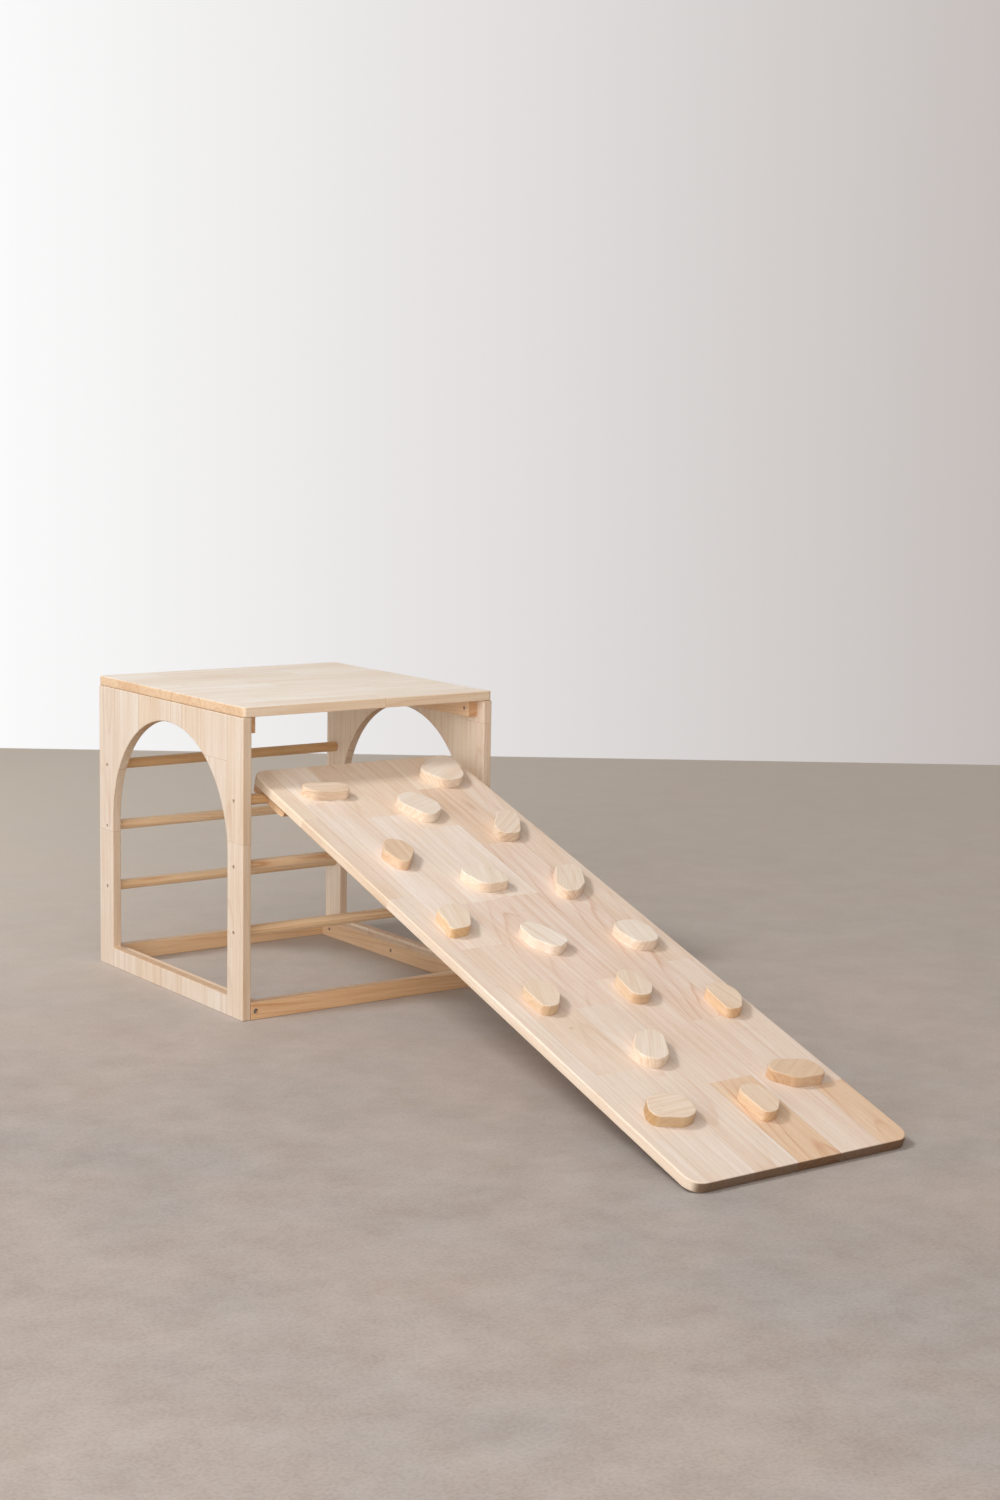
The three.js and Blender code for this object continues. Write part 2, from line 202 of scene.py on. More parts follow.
def settle(piece):
    """Leaves a piece's place, turn and size in its mesh."""
    only(piece)
    bpy.ops.object.transform_apply(location=True, rotation=True, scale=True)
    return piece


def place(piece, at, turn=(0, 0, 0)):
    """Turns a piece and then moves it."""
    piece.rotation_mode = "XYZ"
    piece.rotation_euler = turn
    piece.location = at
    return settle(piece)


def copy_of(pattern, name):
    """A copy with its own mesh."""
    only(pattern)
    bpy.ops.object.duplicate(linked=False)
    return named(name)


def discard(*pieces):
    """Deletes these pieces."""
    only(*pieces)
    bpy.ops.object.delete()


def ease(piece, width, segments=3):
    """Rounds every sharp edge, as a sanding block or a round-over bit does."""
    modify(
        piece,
        "BEVEL",
        width=width,
        segments=segments,
        limit_method="ANGLE",
        angle_limit=SHARP_EDGE,
        use_clamp_overlap=True,
    )


def round_corners(board, radius, segments):
    """Rounds the four corners of a board that lies flat."""
    pick(board, "EDGE", lambda a, b: abs(a.z - b.z) > 5 * MM)
    bpy.ops.mesh.bevel(offset=radius, segments=segments, affect="EDGES")
    done()


def dress(piece, body, slot, material, *nodes):
    """Smooths a finished piece, gives it its material and hands it to the frame."""
    only(piece)
    bpy.ops.object.shade_smooth_by_angle(angle=SMOOTH_EDGE)
    modify(piece, "WEIGHTED_NORMAL", keep_sharp=True, weight=80)
    piece.data.materials.clear()
    piece.data.materials.append(material)
    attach(piece, body)
    if nodes:
        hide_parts(*nodes)


def block(name, low, high):
    """A squared length of wood between two corners."""
    low, high = Vector(low), Vector(high)
    bpy.ops.mesh.primitive_cube_add(size=1, location=(low + high) / 2)
    piece = named(name)
    piece.scale = high - low
    return settle(piece)


def cylinder(name, radius, depth, top):
    """An upright cylinder on the Z axis, from its top down."""
    bpy.ops.mesh.primitive_cylinder_add(
        vertices=SCREW_SIDES, radius=radius, depth=depth, location=(0, 0, top - depth / 2)
    )
    return settle(named(name))


def plate(name, outline, thickness):
    """A plate sawn to a closed outline, from z = 0 up."""
    bpy.ops.mesh.primitive_circle_add(vertices=len(outline), radius=1, fill_type="NGON")
    piece = named(name)
    for corner, point in zip(piece.data.vertices, outline):
        corner.co = (point[0], point[1], 0)
    piece.data.update()
    pick(piece, "FACE", lambda normal: True)
    bpy.ops.mesh.extrude_region_move(TRANSFORM_OT_translate={"value": (0, 0, thickness)})
    bpy.ops.mesh.select_all(action="SELECT")
    bpy.ops.mesh.normals_make_consistent(inside=False)
    done()
    return piece


def arc(centre, radius_x, radius_y, start, stop, steps):
    """Points of an arc or part of an ellipse, its angles in degrees."""
    turns = [math.radians(start + (stop - start) * i / steps) for i in range(steps + 1)]
    return [
        (centre[0] + radius_x * math.cos(t), centre[1] + radius_y * math.sin(t)) for t in turns
    ]


def rounded(corners, radius):
    """A closed outline with each corner turned into an arc, smaller where a side is short."""
    points = [Vector(corner) for corner in corners]
    outline = []
    for i, corner in enumerate(points):
        to_last = points[i - 1] - corner
        to_next = points[(i + 1) % len(points)] - corner
        half = to_last.angle(to_next) / 2
        reach = min(radius / math.tan(half), MOST_OF_SIDE * min(to_last.length, to_next.length))
        to_last.normalize()
        to_next.normalize()
        arc_radius = reach * math.tan(half)
        centre = corner + (to_last + to_next).normalized() * math.hypot(arc_radius, reach)
        first = corner + to_last * reach - centre
        last = corner + to_next * reach - centre
        sweep = first.angle_signed(last)
        for k in range(CORNER_STEPS + 1):
            outline.append(centre + Matrix.Rotation(-sweep * k / CORNER_STEPS, 2) @ first)
    return outline


def cut(piece, *cutters):
    """Saws or drills the shapes of the cutters out of a piece."""
    only(*cutters)
    if len(cutters) > 1:
        bpy.ops.object.join()
    cutter = bpy.context.object
    modify(piece, "BOOLEAN", operation="DIFFERENCE", solver="EXACT", object=cutter)
    discard(cutter)


# ---------------------------------------------------------------- fasteners


def draw_shank(piece, inset, length):
    """Draws the underside of a head out into a shank, and leaves the piece open."""
    pick(piece, "FACE", lambda normal: normal.z < -FLAT)
    bpy.ops.mesh.inset(thickness=inset)
    bpy.ops.mesh.extrude_region_move(TRANSFORM_OT_translate={"value": (0, 0, -length)})


def screw_pattern(sizes, length):
    """A socket-headed screw that points down from the top of its head at the origin."""
    head_length = sizes["head_length"] * MM
    head = sizes["head"] / 2 * MM
    shank = sizes["shank"] / 2 * MM
    piece = cylinder("screw_pattern", head, head_length, 0)
    pick(piece, "EDGE", lambda a, b: min(a.z, b.z) > -ROUNDING)  # the rim of the head
    bpy.ops.mesh.bevel(offset=HEAD_EASE, segments=3, affect="EDGES")
    done()
    draw_shank(piece, head - shank, length - head_length - TIP_LENGTH)
    bpy.ops.mesh.extrude_region_move(TRANSFORM_OT_translate={"value": (0, 0, -TIP_LENGTH)})
    bpy.ops.transform.resize(value=(TIP_TAPER, TIP_TAPER, 1))
    done()
    bpy.ops.mesh.primitive_cylinder_add(
        vertices=sizes["socket_sides"],
        radius=sizes["socket"] / 2 * MM,
        depth=2 * SOCKET_DEPTH,
        location=(0, 0, 0),
    )
    cut(piece, named("socket_cutter"))
    return piece


def hole_pattern(sizes, length):
    """The space that a screw of these sizes needs, open above its head."""
    head_length = sizes["head_length"] * MM
    head = sizes["head"] / 2 * MM + FIT_GAP
    shank = sizes["shank"] / 2 * MM + FIT_GAP
    above = sizes["head"] * MM
    piece = cylinder("hole_pattern", head, above + head_length + FIT_GAP, above)
    draw_shank(piece, head - shank, length - head_length)
    done()
    return piece


class Fastener:
    """Where one screw stands: the top of its head, the way it faces and its length."""

    def __init__(self, name, kind, out, low, high, node=None):
        self.name, self.kind, self.out, self.node = name, kind, Vector(out), node
        self.middle = (low + high) / 2
        self.size = high - low
        self.length = abs(self.size.dot(self.out))
        self.top = self.middle + self.out * self.length / 2

    def put(self, pattern, name):
        """A copy of a pattern at this screw's place."""
        turn = Vector((0, 0, 1)).rotation_difference(self.out).to_euler()
        return place(copy_of(pattern, name), self.top, turn)


def find_fasteners():
    """The screws of the frame, and a third one in the middle of each cleat."""
    found = []
    for node in sorted(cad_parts):
        side = -1 if node.endswith("left") else 1
        end = -1 if "front" in node else 1
        ways = {"rung_screw": (side, 0, 0), "cleat_screw": (-side, 0, 0), "rail_bolt": (0, end, 0)}
        for kind, out in ways.items():
            if kind in node:
                found.append(Fastener(f"{node}_steel", kind, out, *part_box(node), node))
    ends = {f.node: f for f in found}
    for cleat in ("floor_cleat", "top_cleat"):
        for side in ("left", "right"):
            front = ends[f"{cleat}_screw_front_{side}"]
            rear = ends[f"{cleat}_screw_rear_{side}"]
            middle = (front.middle + rear.middle) / 2
            low, high = middle - front.size / 2, middle + front.size / 2
            name = f"{cleat}_screw_middle_{side}_steel"
            found.append(Fastener(name, front.kind, front.out, low, high))
    return found


# ---------------------------------------------------------------- materials

# Real sizes in millimetres
STAVE_WIDTH = 84.5
STAVE_LENGTH = 430
GLUE_LINE = 0.7
RING_SPACING = 11  # fast-grown pine
PITH_ASIDE = 75  # most that the pith lies to the side of a stave's middle
PITH_DEPTH = 18  # least that it lies under the face
PITH_DEPTH_RANGE = 70
WAVE_WIDTH, WAVE_LENGTH = 55, 260  # the rings wander by waves of this size
WAVE_HEIGHT = 16
YEARS = 37  # how far it is from close rings to wide ones
YEARS_SHIFT = 3.2  # in rings
FADE_WIDTH, FADE_LENGTH = 40, 190  # the rings fade in and out along a board
RELIEF = 0.15  # of the sanded face
JUMP = (900, 5000, 700)  # most between the parts of the noise that two pieces read

END_RINGS = 0.2  # least that the rings show on end grain
GLUE_AMOUNT = 0.6
LATE_RELIEF = 0.6  # of the dark part of a ring, over that of the fibres
STAGGER = 7.3  # most between the ends of neighbouring staves, in staves

# What varies the tone of the wood: the width and length of the noise in millimetres, its detail,
# the range of it over which the layer comes in, how strongly, and what it does to the tone
LAYERS = {
    "streak": (8, 320, 3, 0.35, 0.7, 0.7, "F2E9DF"),
    "fibre": (1.8, 110, 3, 0.4, 0.7, 0.55, "F1E8DE"),  # bundles, as fine as the picture can show
    "blotch": (70, 175, 2, 0.35, 0.7, 0.6, "F8F0E6"),
    "fleck": (0.9, 14, 0, 0.7, 0.78, 0.25, "CDB49C"),  # resin canals, twice their real width
}
# How dark a ring is from its start, early in the year, to its end
RING_STOPS = [(0, 0.08), (0.3, 0), (0.74, 0.22), (0.93, 1), (1, 0.1)]

# Sanded pine under a clear matt oil, from the palest stave to the tan ones
PINE_TONES = ["E8E1DA", "E5DCD3", "E4D9CE", "E3D5C4"]
PAINTED_LIGHT_TONES = ["FBF3E8", "F8EDDF"]  # painted light: the right panel's staves, paler than the left's, light its inner face inside the cube
TOP_TONES = ["FDF9F4", "FCF7F0", "FAF3EA", "F4E9DC"]
BATTEN_TONES = ["F3E0CA", "EDD0AF"]
RUNG_TONES = ["F9E8D0", "E2C193"]
HOLD_TONES = ["F5EEE7", "F2E7DB", "EBD8C4", "E0C6AB"]
LATEWOOD = "D9AE88"  # what the dark part of a ring does to the tone
EDGE_OIL_AND_PAINTED_BOUNCE = "FFF7EB"  # sawn edges a little warmer: partly the oil they take, partly painted warm bounce light
END_SHADE = "E6D4BF"  # end grain takes most
GLUE_SHADE = "C9AE92"
KNOT_COLOUR = "BC8C60"


def linear(code):
    """A colour as a screen shows it, turned to linear light."""
    shares = [int(code[i : i + 2], 16) / 255 for i in (0, 2, 4)]
    return [s / 12.92 if s <= 0.04045 else ((s + 0.055) / 1.055) ** 2.4 for s in shares] + [1]


def blank(name):
    """A new material and its empty node tree."""
    material = bpy.data.materials.new(name)
    material.use_nodes = True
    material.node_tree.nodes.clear()
    return material, material.node_tree


def add(tree, kind, links=(), stops=(), **settings):
    """Adds a shader node with its settings, its links or values, and a colour ramp's stops."""
    node = tree.nodes.new("ShaderNode" + kind)
    for key, value in settings.items():
        setattr(node, key, value)
    for key, value in dict(links).items():
        if isinstance(value, bpy.types.Node):
            value = value.outputs[0]
        if isinstance(value, bpy.types.NodeSocket):
            tree.links.new(value, node.inputs[key])
        else:
            node.inputs[key].default_value = value
    for i, (position, colour) in enumerate(stops):
        marks = node.color_ramp.elements
        mark = marks[i] if i < 2 else marks.new(1)
        mark.position = position
        mark.color = colour
    return node


def shade(tree, colour, amount, code, blend="MULTIPLY"):
    """Lays a colour over another, by an amount from 0 to 1."""
    links = {0: amount, 6: colour, 7: linear(code)}
    return add(tree, "Mix", links, data_type="RGBA", blend_type=blend).outputs[2]


def between(tones, tone):
    """The colour at a tone from 0, the first of the tones, to 1, the last."""
    spread = tone * (len(tones) - 1)
    low = min(int(spread), len(tones) - 2)
    ends = linear(tones[low]), linear(tones[low + 1])
    return [a + (b - a) * (spread - low) for a, b in zip(*ends)]


def drawn_out(tree, spot, width, length, detail):
    """Noise drawn out along the grain, its width and length in millimetres."""
    scale = (1 / width, 1 / length, 1 / width)
    scaled = add(tree, "VectorMath", {0: spot, 1: scale}, operation="MULTIPLY")
    return add(tree, "TexNoise", {"Vector": scaled, "Scale": 1, "Detail": detail})


def faces(tree, normal, direction, start, stop):
    """How much the surface faces a direction or away from it, from 0 at start to 1 at stop."""
    facing = add(tree, "VectorMath", {0: normal, 1: direction}, operation="DOT_PRODUCT")
    facing = add(tree, "Math", {0: facing.outputs["Value"]}, operation="ABSOLUTE")
    limits = {0: facing, 1: start, 2: stop, 3: 0, 4: 1}
    return add(tree, "MapRange", limits, interpolation_type="SMOOTHSTEP")


def near_knot(tree, spot, knot, size, start, stop, most):
    """From 0 at start to most at stop, by the distance from a knot counted in ovals of a size."""
    gap = add(tree, "VectorMath", {0: spot, 1: (knot[0], knot[1], 0)}, operation="SUBTRACT")
    scale = (1 / size[0], 1 / size[1], 0)
    gap = add(tree, "VectorMath", {0: gap, 1: scale}, operation="MULTIPLY")
    gap = add(tree, "VectorMath", {0: gap}, operation="LENGTH").outputs["Value"]
    limits = {0: gap, 1: start, 2: stop, 3: 0, 4: most}
    return add(tree, "MapRange", limits, interpolation_type="SMOOTHSTEP")


def at_joint(tree, share, size):
    """1 on the glue at either edge of a stave, from a place in it as a share of its size."""
    from_middle = add(tree, "Math", {0: share, 1: -0.5}, operation="ADD")
    away = add(tree, "Math", {0: from_middle}, operation="ABSOLUTE")
    return add(tree, "Math", {0: away, 1: 0.5 - GLUE_LINE / 2 / size}, operation="GREATER_THAN")


def staves_by_chance(tree, column, y, length, seed, tones):
    """Staves whose pieces meet at random places: each one's dice, its colour and the joints."""
    seeded = add(tree, "Math", {0: column, 1: seed + 0.5}, operation="ADD")
    shift = add(tree, "TexWhiteNoise", {"W": seeded}, noise_dimensions="1D")
    start = add(tree, "Math", {0: shift, 1: STAGGER}, operation="MULTIPLY")
    along = add(tree, "Math", {0: y, 1: 1 / length, 2: start}, operation="MULTIPLY_ADD")
    row = add(tree, "Math", {0: along}, operation="FLOOR")
    number = add(tree, "CombineXYZ", {0: column, 1: row, 2: seed + 0.5})
    dice = add(tree, "TexWhiteNoise", {0: number}, noise_dimensions="3D")
    stops = [(k / (len(tones) - 1), linear(code)) for k, code in enumerate(tones)]
    colour = add(tree, "ValToRGB", {0: dice.outputs["Value"]}, stops).outputs[0]
    joints = at_joint(tree, add(tree, "Math", {0: along}, operation="FRACT"), length)
    return dice, colour, joints


def staves_by_layout(tree, column, y, length, seed, layout):
    """Staves with given pieces: each one's dice, its colour and how strongly its rings show."""
    share = add(tree, "Math", {0: y, 1: 1 / length}, operation="MULTIPLY")
    for i, pieces in enumerate(layout):
        stops = [(start / length, linear(code)[:3] + [figure]) for start, code, figure in pieces]
        stave = add(tree, "ValToRGB", {0: share}, stops)
        stave.color_ramp.interpolation = "CONSTANT"
        if i == 0:
            colour, strength = stave.outputs
            continue
        here = add(tree, "Math", {0: column, 1: i - 0.5}, operation="GREATER_THAN")
        either = {0: here, 6: colour, 7: stave.outputs[0]}
        colour = add(tree, "Mix", either, data_type="RGBA").outputs[2]
        strength = add(tree, "Mix", {0: here, 2: strength, 3: stave.outputs[1]}).outputs[0]
    # pieces of one stave differ in strength, so it tells their dice apart
    number = add(tree, "CombineXYZ", {0: column, 1: strength, 2: seed + 0.5})
    number = add(tree, "VectorMath", {0: number, 1: (1, 37, 1)}, operation="MULTIPLY")
    dice = add(tree, "TexWhiteNoise", {0: number}, noise_dimensions="3D")
    return dice, colour, strength


def rings(tree, x, y, z, draws, own, face, knots, slope, spacing):
    """How dark the rings are, by the distance from a pith under the face that leans against it."""
    aside, depth, lean = draws
    terms = {0: aside, 1: -2 * PITH_ASIDE, 2: PITH_ASIDE}
    pith_x = add(tree, "Math", terms, operation="MULTIPLY_ADD")
    terms = {0: depth, 1: PITH_DEPTH_RANGE, 2: PITH_DEPTH}
    pith_z = add(tree, "Math", terms, operation="MULTIPLY_ADD")
    lean = add(tree, "Math", {0: lean, 1: 2 * slope, 2: -slope}, operation="MULTIPLY_ADD")
    away_x = add(tree, "Math", {0: x, 1: pith_x}, operation="ADD")
    away_z = add(tree, "Math", {0: z, 1: pith_z}, operation="ADD")
    away_z = add(tree, "Math", {0: y, 1: lean, 2: away_z}, operation="MULTIPLY_ADD")
    away = add(tree, "CombineXYZ", {0: away_x, 1: away_z})
    radius = add(tree, "VectorMath", {0: away}, operation="LENGTH").outputs["Value"]
    wave = drawn_out(tree, own, WAVE_WIDTH, WAVE_LENGTH, 2)
    radius = add(tree, "Math", {0: wave, 1: WAVE_HEIGHT, 2: radius}, operation="MULTIPLY_ADD")
    for knot in knots:
        wide, long = knot[2:4]
        bulge = near_knot(tree, face, knot, (2.5 * wide, 4 * long), 1, 0, 2.2 * wide)
        radius = add(tree, "Math", {0: radius, 1: bulge}, operation="ADD")
    years = add(tree, "Math", {0: radius, 1: 1 / YEARS}, operation="MULTIPLY")
    years = add(tree, "TexNoise", {"W": years, "Scale": 1, "Detail": 1}, noise_dimensions="1D")
    phase = add(tree, "Math", {0: radius, 1: 1 / spacing}, operation="MULTIPLY")
    phase = add(tree, "Math", {0: years, 1: YEARS_SHIFT, 2: phase}, operation="MULTIPLY_ADD")
    phase = add(tree, "Math", {0: phase}, operation="FRACT")
    stops = [(position, (dark, dark, dark, 1)) for position, dark in RING_STOPS]
    return add(tree, "ValToRGB", {0: phase}, stops)


def pine(
    name,
    at,
    turn,
    seed,
    tones=PINE_TONES,
    tone=0.5,
    figure=0.6,
    staves=None,
    layout=None,
    knots=(),
    slope=0.12,
    spacing=RING_SPACING,
    edge_shade=EDGE_OIL_AND_PAINTED_BOUNCE,
    end_shade=END_SHADE,
    end_amount=0.8,
    roughness=(0.5, 0.62),
):
    """Pine with rings that run through the piece, for a board whose grain runs along its own y.

    at and turn place the board's own x, across, y, along, and z, out of its face. tone and figure
    say how dark the wood is and how strongly its rings show. staves is the width, the length and
    the offset of the glued staves, and without it the piece is one stave. layout is a list of
    staves, each a list of [start, colour, figure] along its length. knots are [x, y, half width,
    half length, strength]. All of this is in millimetres but for at.
    """
    material, tree = blank(name)
    spot = add(tree, "TexCoord")
    links = {"Vector": spot.outputs["Object"], "Location": at, "Rotation": turn}
    links["Scale"] = (MM, MM, MM)
    local = add(tree, "Mapping", links, vector_type="TEXTURE")
    x, y, z = add(tree, "SeparateXYZ", {0: local}).outputs
    face = add(tree, "CombineXYZ", {0: x, 1: y}) if knots else None

    if staves:
        width, length, offset = staves
        terms = {0: x, 1: 1 / width, 2: offset / width}
        across = add(tree, "Math", terms, operation="MULTIPLY_ADD")
        column = add(tree, "Math", {0: across}, operation="FLOOR")
        inside = add(tree, "Math", {0: across}, operation="FRACT")
        from_middle = add(tree, "Math", {0: inside, 1: -0.5}, operation="ADD")
        x = add(tree, "Math", {0: from_middle, 1: width}, operation="MULTIPLY").outputs[0]
        joints = at_joint(tree, inside, width)
        if layout:
            dice, colour, figure = staves_by_layout(tree, column, y, length, seed, layout)
        else:
            dice, colour, ends = staves_by_chance(tree, column, y, length, seed, tones)
            joints = add(tree, "Math", {0: joints, 1: ends}, operation="MAXIMUM")
        draws = add(tree, "SeparateXYZ", {0: dice.outputs["Color"]}).outputs
    else:
        chance = random.Random(seed)
        draws = [chance.random(), chance.random(), chance.random()]
        colour = between(tones, tone)

    # every stave and every piece of wood reads its own part of the noise
    jump = add(tree, "CombineXYZ", {0: draws[0], 1: draws[1], 2: draws[2]})
    jump = add(tree, "VectorMath", {0: jump, 1: JUMP}, operation="MULTIPLY")
    own = add(tree, "CombineXYZ", {0: x, 1: y, 2: z})
    own = add(tree, "VectorMath", {0: own, 1: jump}, operation="ADD")

    normal = spot.outputs["Normal"]
    board = Euler(turn).to_matrix()
    end = faces(tree, normal, board @ Vector((0, 1, 0)), 0.55, 0.9)
    edge = faces(tree, normal, board @ Vector((0, 0, 1)), 0.9, 0.5)

    dark = rings(tree, x, y, z, draws, own, face, knots, slope, spacing)
    fade = drawn_out(tree, own, FADE_WIDTH, FADE_LENGTH, 1)
    fade = add(tree, "MapRange", {0: fade, 1: 0.32, 2: 0.66, 3: 0.1, 4: 0.9})
    strength = add(tree, "Math", {0: fade, 1: figure}, operation="MULTIPLY")
    # end grain shows its rings wherever they are
    strength = add(tree, "Math", {0: end, 1: END_RINGS, 2: strength}, operation="MULTIPLY_ADD")
    late = add(tree, "Math", {0: dark, 1: strength}, operation="MULTIPLY")
    colour = shade(tree, colour, late, LATEWOOD)

    noises = {}
    for layer, (width, length, detail, low, high, most, code) in LAYERS.items():
        noises[layer] = drawn_out(tree, own, width, length, detail)
        amount = add(tree, "MapRange", {0: noises[layer], 1: low, 2: high, 3: 0, 4: most})
        colour = shade(tree, colour, amount, code)
    # the edges and sides take edge_shade: partly the wood's own tone, partly painted light and
    # shade
    colour = shade(tree, colour, edge, edge_shade)
    end = add(tree, "Math", {0: end, 1: end_amount}, operation="MULTIPLY")
    colour = shade(tree, colour, end, end_shade)
    if staves:
        glue = add(tree, "Math", {0: joints, 1: GLUE_AMOUNT}, operation="MULTIPLY")
        colour = shade(tree, colour, glue, GLUE_SHADE)
    for knot in knots:
        core = near_knot(tree, face, knot, knot[2:4], 1.1, 0.5, knot[4])
        colour = shade(tree, colour, core, KNOT_COLOUR, "MIX")

    # the dark part of a ring is harder, and stands a little proud of the sanded face
    terms = {0: late, 1: LATE_RELIEF, 2: noises["fibre"]}
    relief = add(tree, "Math", terms, operation="MULTIPLY_ADD")
    bump = add(tree, "Bump", {"Strength": 0.25, "Distance": RELIEF * MM, "Height": relief})
    limits = {0: noises["streak"], 1: 0.2, 2: 0.8, 3: roughness[0], 4: roughness[1]}
    links = {"Base Color": colour, "Roughness": add(tree, "MapRange", limits), "Normal": bump}
    shader = add(tree, "BsdfPrincipled", {**links, "IOR": 1.5, "Specular IOR Level": 0.5})
    add(tree, "OutputMaterial", {"Surface": shader})
    return material


def zinc_plated_steel():
    """Screw steel, cold headed and zinc plated: bright, slightly cloudy and a little blue."""
    material, tree = blank("zinc_plated_steel")
    spot = add(tree, "TexCoord")
    # clouds of about a millimetre
    cloud = add(tree, "TexNoise", {"Vector": spot.outputs["Object"], "Scale": 900, "Detail": 3})
    tint = add(tree, "ValToRGB", {0: cloud}, [(0, linear("8E9296")), (1, linear("B9BCBE"))])
    dull = add(tree, "MapRange", {0: cloud, 1: 0.3, 2: 0.7, 3: 0.28, 4: 0.45})
    bump = add(tree, "Bump", {"Strength": 0.2, "Distance": 0.05 * MM, "Height": cloud})
    links = {"Base Color": tint, "Metallic": 1, "Roughness": dull, "Normal": bump}
    add(tree, "OutputMaterial", {"Surface": add(tree, "BsdfPrincipled", links)})
    return material


# ---------------------------------------------------------------- cube

FACING_X = (math.pi / 2, 0, math.pi / 2)  # turns a plate so that its outline runs along Y and Z
GRAIN_UP = FACING_X  # a board in the plane of Y and Z, grain along Z
ALONG_X = (0, 0, math.pi / 2)  # a board that lies flat, grain along X
ALONG_Y = (0, 0, 0)

SIDES = (("left", 1), ("right", -1))  # and the way inward along X
# The seed of each panel's staves, their tones and what its sawn edges do to the tone. The right
# panel's paler tones are painted light, and its darker edges painted shade.
PANELS = {"left": (13, PINE_TONES, EDGE_OIL_AND_PAINTED_BOUNCE), "right": (12, PAINTED_LIGHT_TONES, "F4E8DE")}
ENDS = (("front", 1), ("rear", 0.7))  # and the tone of its rail; the front rail's darker tone is partly painted shade on its front face
LEVELS = (("upper", 0.82), ("middle", 0.1), ("lower", 0.25))  # and the tone of its rungs; the middle and lower rungs are paler, partly painted light for the cube's dim inside
# The first seed of each kind of piece, from which the others count on
SEEDS = {"ramp": 3, "top": 7, "cleat": 31, "rail": 41, "rung": 51, "hook": 71, "hold": 101}

steel = zinc_plated_steel()
fasteners = find_fasteners()
patterns = {}  # all fasteners of a kind have one length, so they share one screw and one hole
for fastener in fasteners:
    if fastener.kind not in patterns:
        sizes, length = FASTENERS[fastener.kind], fastener.length
        patterns[fastener.kind] = screw_pattern(sizes, length), hole_pattern(sizes, length)


def drill(piece, node):
    """Drills a piece for every fastener that reaches into the node that it stands for."""
    low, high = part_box(node)
    holes = []
    for fastener in fasteners:
        ends = fastener.top, fastener.top - fastener.out * fastener.length
        if all(
            min(a, b) < h - LEAST_REACH and max(a, b) > l + LEAST_REACH
            for a, b, l, h in zip(*ends, low, high)
        ):
            holes.append(fastener.put(patterns[fastener.kind][1], "hole"))
    if holes:
        cut(piece, *holes)


for i, (side, inward) in enumerate(SIDES):
    node = f"side_panel_{side}"
    low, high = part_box(node)
    panel = block(f"{node}_wood", low, high)
    opening = [
        (low.y + POST_WIDTH, SILL_HEIGHT),
        (low.y + PANEL_DEPTH - POST_WIDTH, SILL_HEIGHT),
    ] + arc(
        (low.y + PANEL_DEPTH / 2, PANEL_HEIGHT - CROWN_HEIGHT - ARCH_RISE),
        PANEL_DEPTH / 2 - POST_WIDTH,
        ARCH_RISE,
        0,
        180,
        ARCH_STEPS,
    )
    saw = plate("arch_cutter", opening, 3 * (high.x - low.x))
    place(saw, (low.x - (high.x - low.x), 0, 0), FACING_X)
    cut(panel, saw)
    ease(panel, PANEL_EASE)
    drill(panel, node)
    outer = low.x if inward > 0 else high.x
    seed, tones, edge_shade = PANELS[side]
    wood = pine(
        f"edge_glued_pine_{node}",
        (outer, low.y, 0),
        GRAIN_UP,
        seed,
        tones,
        figure=0.3,
        staves=(STAVE_WIDTH, STAVE_LENGTH, 28),
        edge_shade=edge_shade,
    )
    dress(panel, "cube", "panel_wood", wood, node)

    for k, cleat in enumerate(("floor_cleat", "top_cleat")):
        node = f"{cleat}_{side}"
        low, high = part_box(node)
        batten = block(f"{node}_wood", low, high)
        ease(batten, BATTEN_EASE)
        drill(batten, node)
        name, seed = f"planed_pine_{node}", SEEDS["cleat"] + 2 * i + k
        wood = pine(name, (low + high) / 2, ALONG_Y, seed, BATTEN_TONES, 0.1, figure=0.5)
        dress(batten, "cube", "batten_wood", wood, node)

low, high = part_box("top_board")
top = block("top_board_wood", low, high)
round_corners(top, TOP_CORNER_RADIUS, 8)
ease(top, TOP_EASE)
wood = pine(
    "edge_glued_pine_top_board",
    (low.x, low.y, high.z),
    ALONG_X,
    SEEDS["top"],
    TOP_TONES,
    figure=0.3,
    staves=(STAVE_WIDTH, STAVE_LENGTH, 30),
    roughness=(0.36, 0.48),
)
dress(top, "cube", "board_wood", wood, "top_board")

for i, (end, rail_tone_and_shade) in enumerate(ENDS):
    for k, (level, tone) in enumerate(LEVELS):
        node = f"rung_{end}_{level}"
        low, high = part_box(node)
        bpy.ops.mesh.primitive_cylinder_add(
            vertices=RUNG_SIDES,
            radius=RUNG_RADIUS,
            depth=high.x - low.x,
            location=(low + high) / 2,
            rotation=(0, math.pi / 2, 0),
        )
        rung = settle(named(f"{node}_wood"))
        ease(rung, RUNG_EASE)
        drill(rung, node)
        wood = pine(
            f"turned_pine_{node}",
            (low + high) / 2,
            ALONG_X,
            SEEDS["rung"] + 3 * i + k,
            RUNG_TONES,
            tone,
            figure=0.85,
            slope=0.05,
            spacing=6,
        )
        dress(rung, "cube", "rung_wood", wood, node)
    node = f"rail_{end}"
    low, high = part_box(node)
    rail = block(f"{node}_wood", low, high)
    ease(rail, BATTEN_EASE)
    drill(rail, node)
    name, seed = f"planed_pine_{node}", SEEDS["rail"] + i
    wood = pine(name, (low + high) / 2, ALONG_X, seed, BATTEN_TONES, rail_tone_and_shade, figure=0.7)
    dress(rail, "cube", "batten_wood", wood, node)

for fastener in fasteners:
    screw = fastener.put(patterns[fastener.kind][0], fastener.name)
    nodes = [fastener.node] if fastener.node else []
    dress(screw, "cube", "screw_steel", steel, *nodes)
for pair in patterns.values():
    discard(*pair)

